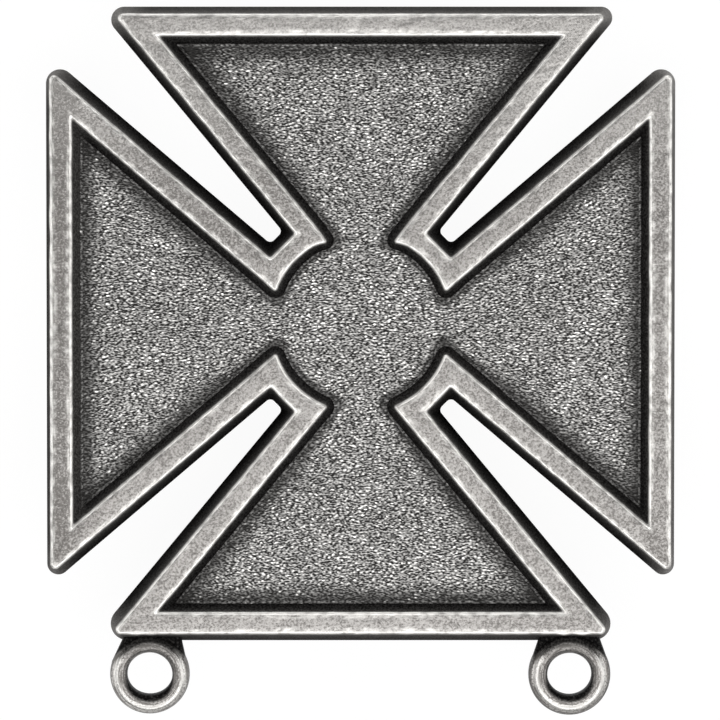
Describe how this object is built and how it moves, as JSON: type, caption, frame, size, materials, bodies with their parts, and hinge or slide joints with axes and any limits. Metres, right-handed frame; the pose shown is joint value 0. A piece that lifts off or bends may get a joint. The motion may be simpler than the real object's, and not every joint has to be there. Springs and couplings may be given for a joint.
{
  "type": "marksman badge",
  "caption": "Cast flared cross badge with a raised plain border round a sunk grained field, hanging eyes on its lower edge for bars, and push-on clutches on back posts.",
  "frame": {"origin": "centre of the bounding box's bottom face, on the surface that the badge lies on, under the middle of the badge with its eyes", "axes": "+Z out of the face of the badge, +Y towards its top arm and away from the eyes, +X to the right as seen from the front"},
  "size_m": [0.0254, 0.0286, 0.0074],
  "materials": {
    "silvered_casting": "antiqued silver plate on a casting: satin border with bright edges, darkened walls and grained field",
    "nickel_plate": "bright nickel plate on pressed metal, slightly dulled"
  },
  "bodies": {
    "root": {"cross": "silvered_casting", "clutch_left": "nickel_plate", "clutch_right": "nickel_plate"}
  },
  "joints": []
}
